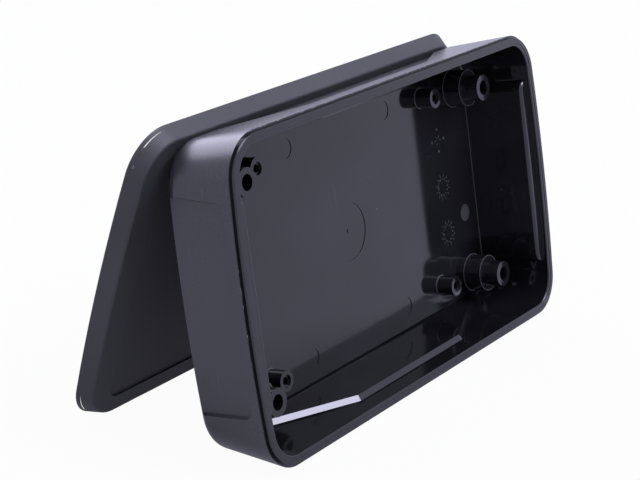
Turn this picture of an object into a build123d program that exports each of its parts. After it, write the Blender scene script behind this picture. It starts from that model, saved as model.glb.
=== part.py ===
from build123d import *
import math
import os

# Two-shell plastic housing, taken apart. The deep base shell stands on its back lower edge, leans back and
# rests on the cover shell, which leans forward against it. Millimetres, +Z up, origin in the middle of the
# footprint on the floor. The base's open side looks towards -Y. X runs along the long sides.

os.makedirs("parts", exist_ok=True)

# Outline that both shells share at the parting plane
length = 142.6  # over the middle of the bowed ends
width = 80.0
end_bow = 2.0  # how far the middle of an end stands out from its corners
corner_r = 10.9

# Base shell
base_depth = 21.0  # parting plane to back face
wall = 3.0  # thickness at the rim
floor_t = 2.0
outer_draft = 6.7  # degrees
inner_draft = 6.6
back_edge_r = 3.7
floor_edge_r = 1.3

# Tongue round the base rim, and the rebate in the cover that takes it
ledge = 0.6  # flat left outside the tongue
tongue_h = 1.0
tongue_t = 1.3
tongue_edge_r = 0.1
lip_h = 0.88  # of the rim inside the tongue
lip_edge_r = 0.3
fit_gap = 0.1  # round the tongue, on every side

# Grip recesses, one in each outer wall, open at the back
recess_depth = 1.0
recess_slope = 26.0  # degrees, of the step round a recess
side_recess_front = 6.5  # parting plane to the step, on a long side
side_recess_half = 27.0  # half length at the step
side_recess_end_slope = 27.4  # degrees, its ends against the long side
end_recess_front = 2.6
end_recess_half = 25.9
end_recess_end_slope = 87.0
recess_corner_r = 3.0
recess_edge_r = 1.0

# Pads inside, behind the recesses
pad_h = 1.25
pad_slope = 40.0
side_pad_front = 4.2
side_pad_half = 25.0
side_pad_end_slope = 23.1
end_pad_front = 0.5
end_pad_half = 26.4
end_pad_t = 6.7  # from its inner face to the middle of the end
end_pad_corner_r = 3.0
end_pad_edge_r = 0.9

# Screw columns in the base, and the posts in the cover that they meet
column_x = 55.0
column_y = 26.7
column_tip = 6.8  # below the parting plane
column_shoulder = 11.55
column_seat = 1.45  # plastic between the shoulder and the screw head
column_foot_h = 2.4
column_tip_r = 3.4
column_neck_r = 3.55
column_body_r = 5.05
column_foot_r = 5.35
screw_hole_r = 2.0
head_hole_r = 3.6
post_gap = 0.3  # between a post and its column when the housing is shut
pilot_hole_r = 1.6
pilot_hole_depth = 7.5

# Circuit board stand-offs
boss_x = 41.2
boss_y = 26.65
boss_h = 5.0
boss_r = 2.72
boss_hole_r = 1.05
boss_hole_depth = 4.6
boss_lead_r = 1.65
boss_lead_depth = 0.5

# Sunk tool marks on the base floor: gate, date dials, plug and ejector pins
mark_depth = 0.15
gate_r = 7.65
gate_nub_r = 0.6
dial_x = 48.0
dial_pitch = 13.35
dial_r = 3.95
dial_hub_r = 1.5
ejector_r = 2.5
ejector_x = 22.6
ejector_y = 27.2
end_ejector_x = 58.2
end_ejector_y = -10.0

# Cover shell
cover_h = 4.3  # its rim to its outer face
cover_t = 2.0
cover_rake = 22.5  # degrees, how far its side leans in
cover_face_corner_r = 10.0
cover_edge_r = 0.9
cover_inner_r = 8.0
label_length = 124.4
label_width = 67.4
label_depth = 0.5
label_corner_r = 3.75

# How the two stand
base_lean = 11.25  # degrees back from upright
cover_lean = 14.8  # degrees forward from upright
cover_shift = -3.2  # cover against base, along X
lean_gap = 0.05

cut_over = 1.0  # how far a cutting shape runs past what it cuts


def outline(plane, inset=0.0, radius=corner_r):
    """The rounded rectangle with bowed ends, drawn in from the parting line by the inset."""
    half_w = width / 2 - inset
    end_r = (width**2 / 4 + end_bow**2) / (2 * end_bow) - inset
    end_x = length / 2 - inset
    corner_x = end_x - end_r + math.sqrt(end_r**2 - half_w**2)
    with BuildSketch(plane) as shape:
        with BuildLine():
            Line((-corner_x, half_w), (corner_x, half_w))
            ThreePointArc((corner_x, half_w), (end_x, 0), (corner_x, -half_w))
            Line((corner_x, -half_w), (-corner_x, -half_w))
            ThreePointArc((-corner_x, -half_w), (-end_x, 0), (-corner_x, half_w))
        make_face()
        fillet(shape.vertices(), radius)
    return shape.sketch


def wall_plane(shell_plane, inward, inset, draft):
    """A plane on a drafted wall: x along it, y towards the back, z into the shell."""
    half = width / 2 if abs(inward.dot(shell_plane.x_dir)) < 0.5 else length / 2
    tilt = math.radians(draft)
    return Plane(
        origin=shell_plane.origin - inward * (half - inset),
        x_dir=inward.cross(shell_plane.z_dir),
        z_dir=inward * math.cos(tilt) + shell_plane.z_dir * math.sin(tilt),
    )


def relief(plane, front, half, end_slope, reach, depth, slope, root):
    """A block that narrows into the shell from a trapezoid drawn on a wall, with a straight root."""
    half_far = half + (reach - front) / math.tan(math.radians(end_slope))
    with BuildPart() as block:
        with BuildSketch(plane) as face:
            with BuildLine():
                Polyline((-half_far, reach), (-half, front), (half, front), (half_far, reach), close=True)
            make_face()
            fillet(face.vertices().group_by(Axis.Y)[0], recess_corner_r)
        extrude(amount=depth, taper=slope)
        extrude(face.sketch, amount=-root)
    return block.part


# Where each shell stands. A shell's own plane is its parting plane: x along it, y up it, z out of its mouth
# for the base and out of its face for the cover.
half_w = width / 2
lean = math.radians(base_lean)
rake = math.radians(cover_lean)
draft_tan = math.tan(math.radians(outer_draft))
edge_z = base_depth - back_edge_r
edge_y = half_w - edge_z * draft_tan - back_edge_r * (1 / math.cos(math.radians(outer_draft)))
base_up = edge_y * math.cos(lean) + edge_z * math.sin(lean) + back_edge_r
post_tip = column_tip - post_gap
front_reach = tongue_h * math.cos(lean) + (half_w - ledge) * math.sin(lean)
back_reach = (column_y + column_tip_r) * math.sin(rake) + post_tip * math.cos(rake)
top_edge_y = edge_y * math.sin(lean) + edge_z * math.cos(lean)
top_edge_up = base_up + edge_y * math.cos(lean) - edge_z * math.sin(lean)
cover_up = half_w * math.cos(rake)
drop = (top_edge_up - cover_up) * math.sin(rake)
cover_back = top_edge_y + (cover_h + back_edge_r + lean_gap + drop) / math.cos(rake)
base_y = (front_reach - cover_back - back_reach) / 2

base_plane = Plane(
    origin=(-cover_shift / 2, base_y, base_up),
    x_dir=(1, 0, 0),
    z_dir=(0, -math.cos(lean), math.sin(lean)),
)
cover_plane = Plane(
    origin=(cover_shift / 2, base_y + cover_back, cover_up),
    x_dir=(1, 0, 0),
    z_dir=(0, -math.cos(rake), -math.sin(rake)),
)


def level(z):
    """The base shell's plane at a height over its parting plane."""
    return base_plane.offset(z)


def drafted(shell_plane, top, bottom, inset, draft, radius, edge_r):
    """A block between two heights with drafted sides, its lower edge rounded."""
    slope = math.tan(math.radians(draft))
    upper = outline(shell_plane.offset(top), inset - top * slope, radius)
    lower = outline(shell_plane.offset(bottom), inset - bottom * slope, radius)
    with BuildPart() as block:
        loft([upper, lower], ruled=True)
        foot = block.faces().sort_by(Axis(shell_plane.origin, shell_plane.z_dir))[0]
        fillet(foot.edges(), edge_r)
    return block.part


def four_ways(plane):
    """Inward directions of the two long walls and the two end walls."""
    return (plane.y_dir, -plane.y_dir), (plane.x_dir, -plane.x_dir)


column_spots = [(sx * column_x, sy * column_y) for sx in (-1, 1) for sy in (-1, 1)]
boss_spots = [(sx * boss_x, sy * boss_y) for sx in (-1, 1) for sy in (-1, 1)]
dial_spots = [(dial_x, 0), (dial_x, -dial_pitch)]
ejector_spots = [(sx * ejector_x, sy * ejector_y) for sx in (-1, 1) for sy in (-1, 1)]
floor_z = floor_t - base_depth
inner_corner_r = corner_r - wall
side_walls, end_walls = four_ways(base_plane)
end_block = length / 4
end_pad_x = length / 2 - end_pad_t

# Base shell

recess_core = drafted(base_plane, cut_over, -base_depth, recess_depth, outer_draft, corner_r, recess_edge_r)
wall_core = drafted(base_plane, 0, floor_z - floor_t / 2, wall / 2, outer_draft, corner_r, back_edge_r)
pad_core = drafted(base_plane, cut_over, floor_z, wall + pad_h, inner_draft, inner_corner_r, floor_edge_r)
cavity = drafted(base_plane, 2 * tongue_h, floor_z, wall, inner_draft, inner_corner_r, floor_edge_r)

with BuildPart() as recesses:
    for inward in side_walls:
        skin = wall_plane(base_plane, inward, 0, outer_draft)
        add(relief(skin, side_recess_front, side_recess_half, side_recess_end_slope,
                   base_depth + cut_over, 2 * recess_depth, recess_slope, cut_over))
    for inward in end_walls:
        skin = wall_plane(base_plane, inward, 0, outer_draft)
        add(relief(skin, end_recess_front, end_recess_half, end_recess_end_slope,
                   base_depth + cut_over, 3 * recess_depth, recess_slope, cut_over))
    add(recess_core, mode=Mode.SUBTRACT)

with BuildPart() as side_pads:
    for inward in side_walls:
        skin = wall_plane(base_plane, inward, wall, inner_draft)
        add(relief(skin, side_pad_front, side_pad_half, side_pad_end_slope,
                   floor_t / 2 - floor_z, pad_h + recess_depth, pad_slope, recess_depth / 2))
    add(pad_core, mode=Mode.SUBTRACT)

with BuildPart() as end_pads:
    with BuildSketch(level(-end_pad_front)) as end_pad_tops:
        with Locations((-end_pad_x - end_block / 2, 0), (end_pad_x + end_block / 2, 0)):
            RectangleRounded(end_block, 2 * end_pad_half, end_pad_corner_r)
    extrude(amount=floor_z - floor_t / 2 + end_pad_front)
    pad_tops = end_pads.faces().group_by(Axis(base_plane.origin, base_plane.z_dir))[-1]
    fillet(pad_tops.edges(), end_pad_edge_r)
    add(wall_core, mode=Mode.INTERSECT)

with BuildPart() as base_shell:
    # outer form and inside, with the lip standing on the rim
    add(drafted(base_plane, 0, -base_depth, 0, outer_draft, corner_r, back_edge_r))
    extrude(outline(level(0), ledge, corner_r - ledge), amount=lip_h)
    add(cavity, mode=Mode.SUBTRACT)
    lip = base_shell.faces().sort_by(Axis(base_plane.origin, base_plane.z_dir))[-1]
    fillet(lip.inner_wires()[0].edges(), lip_edge_r)
    # tongue on the lip
    with BuildSketch(level(lip_h)) as tongue:
        add(outline(Plane.XY, ledge, corner_r - ledge))
        add(outline(Plane.XY, ledge + tongue_t, corner_r - ledge - tongue_t), mode=Mode.SUBTRACT)
    extrude(amount=tongue_h - lip_h)
    tongue_top = base_shell.faces().sort_by(Axis(base_plane.origin, base_plane.z_dir))[-1]
    fillet(tongue_top.edges(), tongue_edge_r)
    add(side_pads.part)
    add(end_pads.part)
    add(recesses.part, mode=Mode.SUBTRACT)
    # screw columns, stepped at the shoulder
    with BuildSketch(level(floor_z)) as column_feet:
        with Locations(column_spots):
            Circle(column_foot_r)
    extrude(amount=column_foot_h)
    with BuildSketch(level(floor_z + column_foot_h)) as column_bodies:
        with Locations(column_spots):
            Circle(column_body_r)
    extrude(amount=-floor_z - column_foot_h - column_shoulder)
    with BuildSketch(level(-column_shoulder)) as column_necks:
        with Locations(column_spots):
            Circle(column_neck_r)
    extrude(amount=column_shoulder - column_tip)
    with BuildSketch(level(-column_tip)) as screw_holes:
        with Locations(column_spots):
            Circle(screw_hole_r)
    extrude(amount=-base_depth, mode=Mode.SUBTRACT)
    with BuildSketch(level(-base_depth)) as head_holes:
        with Locations(column_spots):
            Circle(head_hole_r)
    extrude(amount=base_depth - column_shoulder - column_seat, mode=Mode.SUBTRACT)
    # circuit board stand-offs
    with BuildSketch(level(floor_z)) as bosses:
        with Locations(boss_spots):
            Circle(boss_r)
    extrude(amount=boss_h)
    with BuildSketch(level(floor_z + boss_h)) as boss_holes:
        with Locations(boss_spots):
            Circle(boss_hole_r)
    extrude(amount=-boss_hole_depth, mode=Mode.SUBTRACT)
    with BuildSketch(level(floor_z + boss_h)) as boss_leads:
        with Locations(boss_spots):
            Circle(boss_lead_r)
    extrude(amount=-boss_lead_depth, mode=Mode.SUBTRACT)
    # tool marks
    with BuildSketch(level(floor_z)) as tool_marks:
        Circle(gate_r)
        with Locations(dial_spots, (dial_x, dial_pitch)):
            Circle(dial_r)
        with Locations(ejector_spots, (end_ejector_x, end_ejector_y)):
            Circle(ejector_r)
    extrude(amount=-mark_depth, mode=Mode.SUBTRACT)
    with BuildSketch(level(floor_z - mark_depth)) as mark_centres:
        Circle(gate_nub_r)
        with Locations(dial_spots):
            Circle(dial_hub_r)
    extrude(amount=mark_depth)
base_shell.part.label = "base_shell"
export_step(base_shell.part, "parts/base_shell.step")
print("base_shell", base_shell.part.volume, base_shell.part.is_valid, base_shell.part.bounding_box())

# Cover shell

cover_inset = cover_h * math.tan(math.radians(cover_rake))

with BuildPart() as cover_shell:
    cover_face = outline(cover_plane.offset(cover_h), cover_inset, cover_face_corner_r)
    loft([outline(cover_plane), cover_face], ruled=True)
    outer_face = cover_shell.faces().sort_by(Axis(cover_plane.origin, cover_plane.z_dir))[-1]
    fillet(outer_face.edges(), cover_edge_r)
    with BuildSketch(cover_plane.offset(cover_h)) as label_panel:
        RectangleRounded(label_length, label_width, label_corner_r)
    extrude(amount=-label_depth, mode=Mode.SUBTRACT)
    # rebate for the tongue, then the hollow
    rebate = outline(cover_plane, ledge - fit_gap, corner_r - ledge)
    extrude(rebate, amount=tongue_h + fit_gap, mode=Mode.SUBTRACT)
    hollow = outline(cover_plane, wall + fit_gap, cover_inner_r)
    extrude(hollow, amount=cover_h - cover_t, mode=Mode.SUBTRACT)
    # posts that meet the columns when the housing is shut
    with BuildSketch(cover_plane.offset(-post_tip)) as posts:
        with Locations(column_spots):
            Circle(column_tip_r)
    extrude(amount=post_tip + cover_h - cover_t)
    with BuildSketch(cover_plane.offset(-post_tip)) as pilot_holes:
        with Locations(column_spots):
            Circle(pilot_hole_r)
    extrude(amount=pilot_hole_depth, mode=Mode.SUBTRACT)
cover_shell.part.label = "cover_shell"
export_step(cover_shell.part, "parts/cover_shell.step")
print("cover_shell", cover_shell.part.volume, cover_shell.part.is_valid, cover_shell.part.bounding_box())
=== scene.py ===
import math

import bmesh
import bpy
from mathutils import Matrix, Vector


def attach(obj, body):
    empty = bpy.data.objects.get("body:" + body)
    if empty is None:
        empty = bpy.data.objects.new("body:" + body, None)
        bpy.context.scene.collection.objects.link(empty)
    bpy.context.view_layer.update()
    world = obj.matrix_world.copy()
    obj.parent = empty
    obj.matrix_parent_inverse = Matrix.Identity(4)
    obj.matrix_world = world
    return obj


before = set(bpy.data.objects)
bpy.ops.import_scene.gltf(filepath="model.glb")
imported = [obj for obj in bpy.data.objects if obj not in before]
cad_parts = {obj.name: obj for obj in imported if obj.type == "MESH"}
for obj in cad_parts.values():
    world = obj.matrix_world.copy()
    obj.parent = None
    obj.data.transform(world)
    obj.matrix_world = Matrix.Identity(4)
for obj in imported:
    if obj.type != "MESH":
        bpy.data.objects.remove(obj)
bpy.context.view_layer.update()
mm = 0.001
baseLean = 11.25  # degrees off the upright, as is the next
coverLean = 14.8


print("frame loaded:", ", ".join(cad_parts))

viewpoint = {
    "place": (-379.737, -247.045, 197.261),  # mm
    "right": (0.561047, -0.827057, 0.034694),
    "up": (0.262561, 0.217547, 0.940072),
    "lens": 103.875,  # mm, as is the next
    "sensor": 36,
    "seen": (0.01, 20),  # metres, the nearest and the farthest
}


def makeCamera(look):
    lens = bpy.data.cameras.new("camera")
    lens.sensor_width = look["sensor"]
    lens.lens = look["lens"]
    lens.clip_start, lens.clip_end = look["seen"]
    camera = bpy.data.objects.new("camera", lens)
    bpy.context.scene.collection.objects.link(camera)
    right, up = Vector(look["right"]), Vector(look["up"])
    turn = Matrix((right, up, right.cross(up))).transposed().to_4x4()
    camera.matrix_world = Matrix.Translation(Vector(look["place"]) * mm) @ turn
    bpy.context.scene.camera = camera


makeCamera(viewpoint)
print("camera placed")


class Wire:
    # one output socket, so that node sums can be written as sums
    def __init__(self, tree, socket=None):
        self.tree = tree
        self.socket = socket

    def make(self, kind, settings=None, sockets=None, output=0):
        node = self.tree.nodes.new(kind)
        for name, value in (settings or {}).items():
            setattr(node, name, value)
        for name, value in (sockets or {}).items():
            if isinstance(value, Wire):
                self.tree.links.new(value.socket, node.inputs[name])
            else:
                node.inputs[name].default_value = value
        return Wire(self.tree, node.outputs[output])

    def calc(self, operation, *values):
        return self.make("ShaderNodeMath", {"operation": operation}, dict(enumerate(values)))

    def __add__(self, other):
        return self.calc("ADD", self, other)

    __radd__ = __add__

    def __sub__(self, other):
        return self.calc("SUBTRACT", self, other)

    def __rsub__(self, other):
        return self.calc("SUBTRACT", other, self)

    def __mul__(self, other):
        return self.calc("MULTIPLY", self, other)

    def __gt__(self, other):
        return self.calc("GREATER_THAN", self, other)

    def __lt__(self, other):
        return self.calc("LESS_THAN", self, other)

    def __abs__(self):
        return self.calc("ABSOLUTE", self)

    def smooth(self, low, high):
        # 0 at low and 1 at high
        return self.make(
            "ShaderNodeMapRange",
            {"interpolation_type": "SMOOTHSTEP"},
            {"Value": self, "From Min": low, "From Max": high},
        )

    def part(self, axis):
        return self.make("ShaderNodeSeparateXYZ", {}, {0: self}, axis)

    def vector(self, operation, other=(0, 0, 0), output="Vector"):
        return self.make("ShaderNodeVectorMath", {"operation": operation}, {0: self, 1: other}, output)

    def length(self):
        return self.vector("LENGTH", output="Value")

    def along(self, direction):
        return self.vector("DOT_PRODUCT", direction, "Value")


def noise(space, size, detail=3.0, roughness=0.5, stretch=(1, 1, 1)):
    # size is the width of one blotch in mm
    return space.make(
        "ShaderNodeTexNoise",
        {},
        {
            "Vector": space.vector("MULTIPLY", stretch),
            "Scale": 1 / (size * mm),
            "Detail": detail,
            "Roughness": roughness,
        },
    )


def specks(space, size, share, radius=0.11):
    # 1 in round dots of that radius in mm, in about that share of cells of that size
    spots = {"Vector": space, "Scale": 1 / (size * mm), "Randomness": 1.0}
    near = space.make("ShaderNodeTexVoronoi", {}, spots, "Distance")
    shade = space.make("ShaderNodeTexVoronoi", {}, spots, "Color").part(0)
    return (near < radius / size) * (shade < share)


def flatReach(space, x, y):
    # how far from the line through x, y in mm that stands on the parting plane
    return space.vector("SUBTRACT", (x * mm, y * mm, 0)).vector("MULTIPLY", (1, 1, 0)).length()


def band(value, middle, half):
    return abs(value - middle * mm) < half * mm


def mix(factor, first, second):
    # of two colours, as three numbers or as a wire
    first, second = (c if isinstance(c, Wire) else (*c, 1) for c in (first, second))
    return factor.make("ShaderNodeMix", {"data_type": "RGBA"}, {0: factor, 6: first, 7: second}, 2)


def bumped(height, finish):
    distance = finish["bumpHeight"] * mm
    return height.make("ShaderNodeBump", {}, {"Height": height, "Distance": distance, "Strength": 1.0})


def plastic(name, finish, painter):
    # the painter works in the shell's own space, with its parting plane level and at 0
    material = bpy.data.materials.new(name)
    material.use_nodes = True
    tree = material.node_tree
    shader = tree.nodes["Principled BSDF"]
    turn = math.radians(finish["turn"])
    shift = Matrix.Rotation(turn, 3, "X") @ Vector(finish["origin"]) * -mm
    start = Wire(tree).make("ShaderNodeTexCoord", output="Object")
    space = start.make(
        "ShaderNodeMapping", {}, {"Vector": start, "Location": tuple(shift), "Rotation": (turn, 0, 0)}
    )
    colour, roughness, bump = painter(space, finish)
    tree.links.new(colour.socket, shader.inputs["Base Color"])
    tree.links.new(roughness.socket, shader.inputs["Roughness"])
    tree.links.new(bump.socket, shader.inputs["Normal"])
    shader.inputs["IOR"].default_value = finish["ior"]
    return material


# Lengths in mm, levels from the parting plane, shades from 0 to 1
markLevel = -19.15  # of the sunk discs in the base shell's floor
baseFinish = {
    "turn": baseLean - 90,  # degrees about X that bring its parting plane level
    "origin": (1.6, -22.8933, 40.6594),
    "half": (71.3, 40.0),
    "cornerRadius": 10.9,
    "draft": math.tan(math.radians(6.7)),
    "insideFrom": (1.7, 2.1),  # in from the outer wall
    "backLevel": -20,
    "rimFrom": (-0.35, -0.15),
    "black": (0.0040, 0.0041, 0.0050),
    "greyed": (0.0068, 0.0069, 0.0084),
    "outside": (0.0240, 0.0240, 0.0265),
    "dust": (0.30, 0.30, 0.31),
    "dustShade": 0.5,
    "dustCell": 3.4,
    "dustShare": 0.10,
    "dustRough": 0.4,
    "blotch": 22,
    "blotchFade": (0.3, 0.7),
    "blotchRough": 0.06,
    "grain": 0.22,
    "grainHeight": 0.55,
    "wave": 17,
    "waveHeight": 1.1,
    "scratch": 0.5,
    "scratchStretch": 0.03,
    "scratchFades": ((0.66, 0.72), (0.67, 0.73)),  # along the shell, across it
    "scratchedBlotches": (0.5, 0.62),
    "scratchShade": 0.05,
    "scratchRough": 0.14,
    "scratchDip": 0.10,
    "wear": 1.4,
    "wearFade": (0.52, 0.66),
    "wearShade": 0.35,
    "wearRough": 0.2,
    "edgeLevel": 0.05,
    "edgeFade": (0.30, 0.05),  # off that level, where the wear starts and is whole
    "edgeDepth": (0.35, 0.05),  # the same in from the outer wall
    # share of the pale dust colour painted onto the step lines as highlights
    "paintedHighlightShare": 0.24,
    "lineRough": 0.35,
    "lineHalf": 0.13,
    "endPadFoot": (64.6, 0.11, 24.5),  # along X, half width, half length
    "endPadLevel": (-19.0, 0.2),  # and half height
    "column": (55.0, 26.7),
    "columnSteps": ((5.05, -11.55), (5.35, -16.6)),  # radius and level
    "columnLineWidth": 0.14,
    "standOff": (41.2, 26.65),
    "standOffFoot": (2.72, -18.95),
    "standOffLineWidth": 0.2,
    "ejector": (58.2, -10.0),
    "ejectorRadius": 2.45,
    "ejectorHalf": 0.1,
    "ejectorShade": 0.14,
    "polished": 0.09,
    "satin": 0.26,
    "bumpHeight": 0.018,
    "ior": 1.54,
}


def insetOf(space, finish):
    # how far in from the drafted outer wall, in metres
    radius = finish["cornerRadius"]
    cornerX, cornerY = ((half - radius) * mm for half in finish["half"])
    beyond = space.vector("MULTIPLY", (1, 1, 0)).vector("ABSOLUTE").vector("SUBTRACT", (cornerX, cornerY, 0))
    straight = beyond.calc("MAXIMUM", beyond.part(0), beyond.part(1))
    straight = straight.calc("MINIMUM", straight, 0.0)
    rounded = beyond.vector("MAXIMUM").length()
    return radius * mm - rounded - straight + space.part(2) * finish["draft"]


def paintedHighlightLines(space, finish):
    # painted highlights: thin lines of light painted on the steps of the columns, the stand-offs and the end
    # pads, where they catch light
    z = space.part(2)
    folded = space.vector("ABSOLUTE")
    padX, padHalf, padReach = finish["endPadFoot"]
    highlightLines = band(folded.part(0), padX, padHalf) * band(z, *finish["endPadLevel"])
    highlightLines *= folded.part(1) < padReach * mm
    column = flatReach(folded, *finish["column"])
    for radius, level in finish["columnSteps"]:
        highlightLines += band(column, radius, finish["columnLineWidth"]) * band(z, level, finish["lineHalf"])
    radius, level = finish["standOffFoot"]
    standOff = flatReach(folded, *finish["standOff"])
    return highlightLines + band(standOff, radius, finish["standOffLineWidth"]) * band(z, level, finish["lineHalf"])


def paintBase(space, finish):
    z = space.part(2)
    depth = insetOf(space, finish)
    insideLow, insideHigh = finish["insideFrom"]
    rimLow, rimHigh = finish["rimFrom"]
    inside = depth.smooth(insideLow * mm, insideHigh * mm) * (z > finish["backLevel"] * mm)
    polish = inside.calc("MAXIMUM", inside, z.smooth(rimLow * mm, rimHigh * mm))

    blotches = noise(space, finish["blotch"])
    grain = noise(space, finish["grain"], 4, 0.6)
    waves = noise(space, finish["wave"], 1.5, 0.4)
    stretch = finish["scratchStretch"]
    fadeLong, fadeAcross = finish["scratchFades"]
    scratchLong = noise(space, finish["scratch"], 2, 0.5, (stretch, 1, 1)).smooth(*fadeLong)
    scratchAcross = noise(space, finish["scratch"], 2, 0.5, (1, stretch, 1)).smooth(*fadeAcross)
    scratches = scratchLong.calc("MAXIMUM", scratchLong, scratchAcross)
    scratches *= blotches.smooth(*finish["scratchedBlotches"])
    dust = specks(space, finish["dustCell"], finish["dustShare"])
    edgeFar, edgeNear = finish["edgeFade"]
    depthFar, depthNear = finish["edgeDepth"]
    edge = abs(z - finish["edgeLevel"] * mm).smooth(edgeFar * mm, edgeNear * mm)
    edge *= depth.smooth(depthFar * mm, depthNear * mm)
    rubbed = edge * noise(space, finish["wear"], 3).smooth(*finish["wearFade"])
    highlightLines = paintedHighlightLines(space, finish)
    ejector = flatReach(space, *finish["ejector"]) < finish["ejectorRadius"] * mm
    ejector *= band(z, markLevel, finish["ejectorHalf"])

    colour = mix(blotches.smooth(*finish["blotchFade"]), finish["black"], finish["greyed"])
    colour = mix(polish, finish["outside"], colour)
    # painted highlights: the step lines are lightened towards the dust colour; the ejector discs are
    # lightened as the mould's own marks
    colour = mix(highlightLines * finish["paintedHighlightShare"] + ejector * finish["ejectorShade"], colour, finish["dust"])
    colour = mix(rubbed * finish["wearShade"] + scratches * finish["scratchShade"], colour, finish["dust"])
    colour = mix(dust * finish["dustShade"], colour, finish["dust"])
    roughness = (1 - polish) * (finish["satin"] - finish["polished"]) + finish["polished"]
    roughness += (blotches - 0.5) * finish["blotchRough"] + scratches * finish["scratchRough"]
    roughness += rubbed * finish["wearRough"] + dust * finish["dustRough"]
    roughness += (ejector + highlightLines) * finish["lineRough"]
    height = grain * (1 - polish) * finish["grainHeight"] + waves * polish * finish["waveHeight"]
    return colour, roughness, bumped(height - scratches * finish["scratchDip"], finish)


coverFinish = {
    "turn": -coverLean - 90,
    "origin": (-1.6, 17.5874, 38.6729),
    "black": (0.0200, 0.0196, 0.0215),
    "greyed": (0.0280, 0.0275, 0.0300),
    "dust": (0.30, 0.30, 0.31),
    "dustShade": 0.4,
    "dustCell": 4.2,
    "dustShare": 0.07,
    "dustRough": 0.3,
    "blotch": 26,
    "blotchFade": (0.3, 0.7),
    "blotchRough": 0.07,
    "grain": 0.26,
    "grainRough": 0.10,
    "pit": 0.6,
    "pitHeight": 0.6,
    "panelLevel": 3.8,
    "panelHalf": 0.05,
    "panelRough": 0.05,
    "satin": 0.54,
    "bumpHeight": 0.016,
    "ior": 1.54,
}


def paintCover(space, finish):
    blotches = noise(space, finish["blotch"])
    grain = noise(space, finish["grain"], 4, 0.6)
    pits = noise(space, finish["pit"], 2, 0.5)
    dust = specks(space, finish["dustCell"], finish["dustShare"])
    panel = band(space.part(2), finish["panelLevel"], finish["panelHalf"])
    colour = mix(blotches.smooth(*finish["blotchFade"]), finish["black"], finish["greyed"])
    colour = mix(dust * finish["dustShade"], colour, finish["dust"])
    roughness = (blotches - 0.5) * finish["blotchRough"] + (grain - 0.5) * finish["grainRough"]
    roughness += panel * finish["panelRough"] + dust * finish["dustRough"] + finish["satin"]
    return colour, roughness, bumped(grain + pits * finish["pitHeight"], finish)


markFinish = {
    "turn": baseFinish["turn"],
    "origin": baseFinish["origin"],
    "dark": (0.030, 0.030, 0.033),
    "pale": (0.075, 0.075, 0.080),
    "speckle": 0.5,
    "speckleFade": (0.35, 0.65),
    "speckleRough": 0.2,
    "grain": 0.15,
    "satin": 0.35,
    "bumpHeight": 0.01,
    "ior": 1.54,
}


def paintMark(space, finish):
    speckle = noise(space, finish["speckle"]).smooth(*finish["speckleFade"])
    colour = mix(speckle, finish["dark"], finish["pale"])
    roughness = speckle * finish["speckleRough"] + finish["satin"]
    return colour, roughness, bumped(noise(space, finish["grain"]), finish)


basePlastic = plastic("basePlastic", baseFinish, paintBase)
markPlastic = plastic("markPlastic", markFinish, paintMark)
coverPlastic = plastic("coverPlastic", coverFinish, paintCover)
for node, material in (("base_shell", basePlastic), ("cover_shell", coverPlastic)):
    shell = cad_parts[node]
    shell.data.materials.clear()
    shell.data.materials.append(material)
print("plastics made")

# Raised marks on the sunk discs: two date dials and a plug with studs and slots
basePose = Matrix.Translation(Vector(baseFinish["origin"]) * mm)
basePose @= Matrix.Rotation(math.radians(-baseFinish["turn"]), 4, "X")
dial = {
    "spots": ((48.0, 0.0), (48.0, -13.35)),
    "raised": 0.13,
    "ticks": 12,
    "tickRing": 3.35,
    "tickLength": 0.75,
    "tickWidth": 0.16,
    "numberRing": 2.35,
    "numberHeight": 0.95,
    "numberSteps": 2,
    "plug": (48.0, 13.35),
    "studs": 4,
    "studRing": 3.1,
    "studSize": 0.6,
    "slots": 6,
    "slotRing": 1.15,
}


def plainMesh(holder):
    # its final mesh, with the holder gone
    bpy.context.scene.collection.objects.link(holder)
    mesh = bpy.data.meshes.new_from_object(holder.evaluated_get(bpy.context.evaluated_depsgraph_get()))
    bpy.data.objects.remove(holder)
    return mesh


def bars(name, sizes):
    # bars spread evenly round a ring, each pointing at the middle
    tree = bpy.data.node_groups.new(name, "GeometryNodeTree")
    inputs = {}
    for label, kind in (
        ("Count", "NodeSocketInt"),
        ("Ring", "NodeSocketFloat"),
        ("Length", "NodeSocketFloat"),
        ("Width", "NodeSocketFloat"),
        ("Height", "NodeSocketFloat"),
        ("Finish", "NodeSocketMaterial"),
    ):
        inputs[label] = tree.interface.new_socket(label, in_out="INPUT", socket_type=kind).identifier
    tree.interface.new_socket("Geometry", in_out="OUTPUT", socket_type="NodeSocketGeometry")
    add, link = tree.nodes.new, tree.links.new
    given = add("NodeGroupInput").outputs
    ring = add("GeometryNodeMeshCircle")
    bar = add("GeometryNodeMeshCube")
    size = add("ShaderNodeCombineXYZ")
    spread = add("GeometryNodeInstanceOnPoints")
    aim = add("FunctionNodeAlignRotationToVector")
    place = add("GeometryNodeInputPosition")
    real = add("GeometryNodeRealizeInstances")
    finish = add("GeometryNodeSetMaterial")
    done = add("NodeGroupOutput")
    aim.axis = "X"
    aim.pivot_axis = "Z"
    for source, target in (
        (given["Count"], ring.inputs["Vertices"]),
        (given["Ring"], ring.inputs["Radius"]),
        (given["Length"], size.inputs["X"]),
        (given["Width"], size.inputs["Y"]),
        (given["Height"], size.inputs["Z"]),
        (size.outputs[0], bar.inputs["Size"]),
        (place.outputs[0], aim.inputs["Vector"]),
        (ring.outputs[0], spread.inputs["Points"]),
        (bar.outputs[0], spread.inputs["Instance"]),
        (aim.outputs[0], spread.inputs["Rotation"]),
        (spread.outputs[0], real.inputs[0]),
        (real.outputs[0], finish.inputs["Geometry"]),
        (given["Finish"], finish.inputs["Material"]),
        (finish.outputs[0], done.inputs[0]),
    ):
        link(source, target)
    carrier = bpy.data.objects.new(name, bpy.data.meshes.new(name))
    modifier = carrier.modifiers.new(name, "NODES")
    modifier.node_group = tree
    for label, value in sizes.items():
        modifier[inputs[label]] = value
    return plainMesh(carrier)


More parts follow.
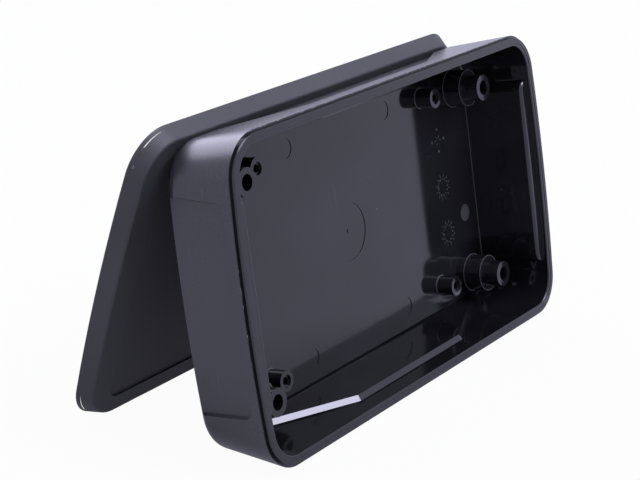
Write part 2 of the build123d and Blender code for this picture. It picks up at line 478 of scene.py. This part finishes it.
def numberMesh(text, look):
    curve = bpy.data.curves.new("number", "FONT")
    curve.body = text
    curve.size = look["numberHeight"] * mm
    curve.extrude = look["raised"] * mm / 2
    curve.align_x, curve.align_y = "CENTER", "CENTER"
    curve.resolution_u = look["numberSteps"]
    return plainMesh(bpy.data.objects.new("number", curve))


def joined(name, parts, material, weld=1e-7):
    # (mesh, matrix) pairs made one piece, at the origin
    whole = bmesh.new()
    for mesh, matrix in parts:
        copy = mesh.copy()
        copy.transform(matrix)
        whole.from_mesh(copy)
        bpy.data.meshes.remove(copy)
    bmesh.ops.remove_doubles(whole, verts=whole.verts, dist=weld)
    bmesh.ops.recalc_face_normals(whole, faces=whole.faces)
    mesh = bpy.data.meshes.new(name)
    whole.to_mesh(mesh)
    whole.free()
    mesh.materials.append(material)
    piece = bpy.data.objects.new(name, mesh)
    bpy.context.scene.collection.objects.link(piece)
    return piece


def makeDials(look):
    def ring(name, count, reach, long, wide):
        return bars(name, {
            "Count": count,
            "Ring": reach * mm,
            "Length": long * mm,
            "Width": wide * mm,
            "Height": look["raised"] * mm,
            "Finish": markPlastic,
        })

    def seat(x, y):
        return basePose @ Matrix.Translation(Vector((x, y, markLevel + look["raised"] / 2)) * mm)

    count = look["ticks"]
    ticks = ring("dialTicks", count, look["tickRing"], look["tickLength"], look["tickWidth"])
    studs = ring("plugStuds", look["studs"], look["studRing"], look["studSize"], look["studSize"])
    slots = ring("plugSlots", look["slots"], look["slotRing"], look["tickLength"], look["tickWidth"])
    numbers = [numberMesh(str(n + 1), look) for n in range(count)]
    plug = seat(*look["plug"])
    parts = [(studs, plug), (slots, plug)]
    for x, y in look["spots"]:
        middle = seat(x, y)
        parts.append((ticks, middle @ Matrix.Rotation(math.pi / count, 4, "Z")))
        for n, mesh in enumerate(numbers):
            around = Matrix.Rotation(-2 * math.pi * n / count, 4, "Z")
            parts.append((mesh, middle @ around @ Matrix.Translation((0, look["numberRing"] * mm, 0))))
    piece = joined("dialMarks", parts, markPlastic)
    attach(piece, "root")


makeDials(dial)
print("dials made")

studio = {
    "floorHalf": 3.0,  # metres
    "floorShade": 0.42,
    "seenFloor": 0.96,  # how far the floor goes to plain white for the camera
    "away": (0.75, 0.66, 0),  # from the camera, over the floor
    "farFloor": (0.15, 0.7),  # metres that way where the floor starts and stops getting lighter
    "floorGlow": (0.26, 0.60),  # its own light before that, and what is added past it
    "tint": (0.92, 0.91, 1.16),
    "worldStrength": 0.90,
    "panels": (
        # direction, cosines where its edge starts and ends, how much brighter it is
        ((0.30, 0.80, 0.50), 0.84, 0.97, 3.0),
        ((0.275, -0.608, 0.746), 0.945, 0.992, 13.0),
    ),
}
white = (1, 1, 1)


def emptied(tree):
    tree.nodes.clear()
    return Wire(tree)


def makeFloor(look):
    half = look["floorHalf"]
    mesh = bpy.data.meshes.new("floor")
    spots = [(-half, -half, 0), (half, -half, 0), (half, half, 0), (-half, half, 0)]
    mesh.from_pydata(spots, [], [(0, 1, 2, 3)])
    floor = bpy.data.objects.new("floor", mesh)
    bpy.context.scene.collection.objects.link(floor)
    material = bpy.data.materials.new("floorCard")
    material.use_nodes = True
    tree = material.node_tree
    start = emptied(tree)
    card = start.make("ShaderNodeBsdfDiffuse", {}, {"Color": (*[look["floorShade"]] * 3, 1)})
    seen = start.make("ShaderNodeLightPath", output="Is Camera Ray")
    glowColour = mix(seen, look["tint"], white)
    bright = start.make("ShaderNodeEmission", {}, {"Color": glowColour, "Strength": 1.0})
    glow, more = look["floorGlow"]
    away = start.make("ShaderNodeTexCoord", output="Object").along(look["away"])
    far = away.smooth(*look["farFloor"]) * more + glow
    lifted = seen.calc("MAXIMUM", seen * look["seenFloor"], far)
    shown = start.make("ShaderNodeMixShader", {}, {0: lifted, 1: card, 2: bright})
    output = tree.nodes.new("ShaderNodeOutputMaterial")
    tree.links.new(shown.socket, output.inputs["Surface"])
    mesh.materials.append(material)


def makeWorld(look):
    world = bpy.data.worlds.new("studio")
    bpy.context.scene.world = world
    world.use_nodes = True
    tree = world.node_tree
    start = emptied(tree)
    seen = start.make("ShaderNodeLightPath", output="Is Camera Ray")
    direction = start.make("ShaderNodeTexCoord", output="Generated")
    glow = look["worldStrength"]
    for aim, low, high, extra in look["panels"]:
        glow += direction.along(Vector(aim).normalized()).smooth(low, high) * extra
    glow += seen * (1 - glow)
    tinted = mix(seen, look["tint"], white)
    light = start.make("ShaderNodeBackground", {}, {"Color": tinted, "Strength": glow})
    output = tree.nodes.new("ShaderNodeOutputWorld")
    tree.links.new(light.socket, output.inputs["Surface"])


makeFloor(studio)
makeWorld(studio)
bpy.context.scene.view_settings.view_transform = "Standard"
print("studio made")
